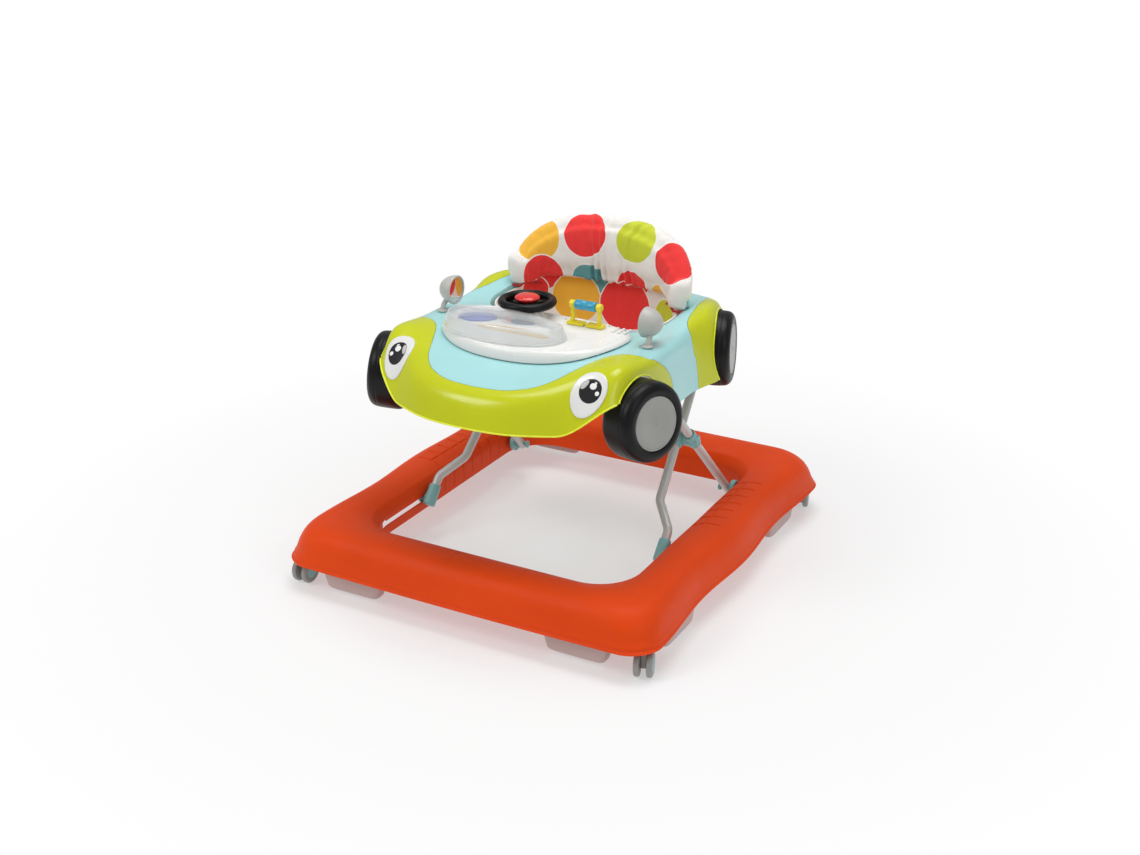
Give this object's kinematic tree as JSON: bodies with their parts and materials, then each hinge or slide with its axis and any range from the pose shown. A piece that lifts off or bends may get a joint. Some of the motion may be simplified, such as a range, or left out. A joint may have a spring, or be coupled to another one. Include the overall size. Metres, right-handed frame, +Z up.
{
  "type": "baby walker",
  "caption": "Baby walker with a toy-car tray, hanging cloth seat and cross-folding tube legs on a hollow ring base with swivel casters.",
  "frame": {"origin": "on the floor, at the centre of the footprint", "axes": "+Z up; the toy car faces -Y; the car's own left side is +X"},
  "size_m": [0.617, 0.683, 0.5003],
  "materials": {
    "ring": "satin moulded, fine grain",
    "pad": "matte, translucent pinkish white",
    "caster_grey": "satin",
    "tube": "silver-grey powder coat",
    "joint_teal": "satin",
    "aqua": "glossy moulded",
    "lime": "glossy moulded",
    "eye_white": "glossy printed inlay",
    "toy_black": "satin black",
    "hub_grey": "satin silver-grey",
    "white": "glossy moulded",
    "clear": "clear moulded dome",
    "red": "glossy",
    "yellow": "glossy",
    "blue": "glossy",
    "cloth": "printed woven cotton over foam"
  },
  "bodies": {
    "base": {"base_ring": "ring", "brake_pad_front_left": "pad", "brake_pad_front_right": "pad", "brake_pad_rear_left": "pad", "brake_pad_rear_right": "pad", "brake_pad_left_front": "pad", "brake_pad_left_rear": "pad", "brake_pad_right_front": "pad", "brake_pad_right_rear": "pad", "rear_pivot_clip_left": "joint_teal", "rear_pivot_clip_right": "joint_teal"},
    "caster_front_left": {"caster_fork_front_left": "caster_grey"},
    "wheel_front_left_outer": {"caster_wheel_front_left_outer": "caster_grey"},
    "wheel_front_left_inner": {"caster_wheel_front_left_inner": "caster_grey"},
    "caster_front_right": {"caster_fork_front_right": "caster_grey"},
    "wheel_front_right_outer": {"caster_wheel_front_right_outer": "caster_grey"},
    "wheel_front_right_inner": {"caster_wheel_front_right_inner": "caster_grey"},
    "caster_rear_left": {"caster_fork_rear_left": "caster_grey"},
    "wheel_rear_left_outer": {"caster_wheel_rear_left_outer": "caster_grey"},
    "wheel_rear_left_inner": {"caster_wheel_rear_left_inner": "caster_grey"},
    "caster_rear_right": {"caster_fork_rear_right": "caster_grey"},
    "wheel_rear_right_outer": {"caster_wheel_rear_right_outer": "caster_grey"},
    "wheel_rear_right_inner": {"caster_wheel_rear_right_inner": "caster_grey"},
    "rear_legs": {"rear_leg_frame": "tube", "cross_hub_outer_left": "joint_teal", "cross_hub_outer_right": "joint_teal"},
    "front_legs": {"front_leg_frame": "tube", "front_foot_left": "joint_teal", "front_foot_right": "joint_teal", "cross_hub_inner_left": "joint_teal", "cross_hub_inner_right": "joint_teal"},
    "tray": {"tray_shell": "aqua", "front_bumper": "lime", "rear_fender_left": "lime", "rear_fender_right": "lime", "eye_left": "eye_white", "eye_right": "eye_white", "console": "white", "windshield_lens": "clear", "toy_bracket": "yellow", "tray_hinge_clip_left": "joint_teal", "tray_hinge_clip_right": "joint_teal", "tray_track_left": "joint_teal", "tray_track_right": "joint_teal", "seat_frame": "aqua", "seat_back": "cloth", "seat_sling": "cloth"},
    "toy_wheel_front_left": {"toy_tyre_front_left": "toy_black", "toy_hub_front_left": "hub_grey"},
    "toy_wheel_front_right": {"toy_tyre_front_right": "toy_black", "toy_hub_front_right": "hub_grey"},
    "toy_wheel_rear_left": {"toy_tyre_rear_left": "toy_black", "toy_hub_rear_left": "hub_grey"},
    "toy_wheel_rear_right": {"toy_tyre_rear_right": "toy_black", "toy_hub_rear_right": "hub_grey"},
    "steering": {"steering_wheel": "toy_black"},
    "horn": {"horn_button": "red"},
    "roller": {"toy_roller": "blue"},
    "mirror_left": {"mirror_left": "hub_grey"},
    "mirror_right": {"mirror_right": "hub_grey"}
  },
  "joints": [
    {"name": "swivel_front_left", "type": "hinge", "parent": "base", "child": "caster_front_left", "pos_m": [0.2865, -0.296, 0.04], "axis": [0, 0, 1], "continuous": true},
    {"name": "roll_front_left_outer", "type": "hinge", "parent": "caster_front_left", "child": "wheel_front_left_outer", "pos_m": [0.29052, -0.30836, 0.019], "axis": [0.9511, 0.309, 0], "continuous": true},
    {"name": "roll_front_left_inner", "type": "hinge", "parent": "caster_front_left", "child": "wheel_front_left_inner", "pos_m": [0.29052, -0.30836, 0.019], "axis": [0.9511, 0.309, 0], "continuous": true},
    {"name": "swivel_front_right", "type": "hinge", "parent": "base", "child": "caster_front_right", "pos_m": [-0.2865, -0.296, 0.04], "axis": [0, 0, 1], "continuous": true},
    {"name": "roll_front_right_outer", "type": "hinge", "parent": "caster_front_right", "child": "wheel_front_right_outer", "pos_m": [-0.2865, -0.309, 0.019], "axis": [1, 0, 0], "continuous": true},
    {"name": "roll_front_right_inner", "type": "hinge", "parent": "caster_front_right", "child": "wheel_front_right_inner", "pos_m": [-0.2865, -0.309, 0.019], "axis": [1, 0, 0], "continuous": true},
    {"name": "swivel_rear_left", "type": "hinge", "parent": "base", "child": "caster_rear_left", "pos_m": [0.2865, 0.296, 0.04], "axis": [0, 0, 1], "continuous": true},
    {"name": "roll_rear_left_outer", "type": "hinge", "parent": "caster_rear_left", "child": "wheel_rear_left_outer", "pos_m": [0.28314, 0.30856, 0.019], "axis": [0.9659, 0.2588, 0], "continuous": true},
    {"name": "roll_rear_left_inner", "type": "hinge", "parent": "caster_rear_left", "child": "wheel_rear_left_inner", "pos_m": [0.28314, 0.30856, 0.019], "axis": [0.9659, 0.2588, 0], "continuous": true},
    {"name": "swivel_rear_right", "type": "hinge", "parent": "base", "child": "caster_rear_right", "pos_m": [-0.2865, 0.296, 0.04], "axis": [0, 0, 1], "continuous": true},
    {"name": "roll_rear_right_outer", "type": "hinge", "parent": "caster_rear_right", "child": "wheel_rear_right_outer", "pos_m": [-0.2865, 0.309, 0.019], "axis": [1, 0, 0], "continuous": true},
    {"name": "roll_rear_right_inner", "type": "hinge", "parent": "caster_rear_right", "child": "wheel_rear_right_inner", "pos_m": [-0.2865, 0.309, 0.019], "axis": [1, 0, 0], "continuous": true},
    {"name": "fold", "type": "hinge", "parent": "base", "child": "rear_legs", "pos_m": [0, 0.192, 0.061], "axis": [1, 0, 0], "range_deg": [0, 27]},
    {"name": "crossing", "type": "hinge", "parent": "rear_legs", "child": "front_legs", "pos_m": [0, 0.055, 0.198], "axis": [1, 0, 0], "range_deg": [-54, 0]},
    {"name": "tray_level", "type": "hinge", "parent": "front_legs", "child": "tray", "pos_m": [0, 0.17, 0.313], "axis": [1, 0, 0], "range_deg": [0, 27]},
    {"name": "toy_spin_front_left", "type": "hinge", "parent": "tray", "child": "toy_wheel_front_left", "pos_m": [0.236, -0.171, 0.313], "axis": [0.9368, -0.3389, 0.0867], "continuous": true},
    {"name": "toy_spin_front_right", "type": "hinge", "parent": "tray", "child": "toy_wheel_front_right", "pos_m": [-0.236, -0.171, 0.313], "axis": [-0.9368, -0.3389, 0.0867], "continuous": true},
    {"name": "toy_spin_rear_left", "type": "hinge", "parent": "tray", "child": "toy_wheel_rear_left", "pos_m": [0.219, 0.136, 0.325], "axis": [0.9607, 0.2759, 0.03], "continuous": true},
    {"name": "toy_spin_rear_right", "type": "hinge", "parent": "tray", "child": "toy_wheel_rear_right", "pos_m": [-0.219, 0.136, 0.325], "axis": [-0.9607, 0.2759, 0.03], "continuous": true},
    {"name": "steering_turn", "type": "hinge", "parent": "tray", "child": "steering", "pos_m": [-0.038, -0.052, 0.4185], "axis": [0, 0, 1], "continuous": true},
    {"name": "horn_press", "type": "slide", "parent": "steering", "child": "horn", "axis": [0, 0, -1], "range_m": [0, 0.003], "stiffness_N_per_m": 300},
    {"name": "roller_spin", "type": "hinge", "parent": "tray", "child": "roller", "pos_m": [0.062, -0.052, 0.4235], "axis": [1, 0, 0], "continuous": true},
    {"name": "mirror_turn_left", "type": "hinge", "parent": "tray", "child": "mirror_left", "pos_m": [0.1745, -0.075, 0.386], "axis": [0, 0, 1], "range_deg": [-80, 80]},
    {"name": "mirror_turn_right", "type": "hinge", "parent": "tray", "child": "mirror_right", "pos_m": [-0.1745, -0.075, 0.386], "axis": [0, 0, 1], "range_deg": [-80, 80]}
  ],
  "couplings": [
    {"joint": "crossing", "follows": "fold", "ratio": -2},
    {"joint": "tray_level", "follows": "fold", "ratio": 1}
  ]
}
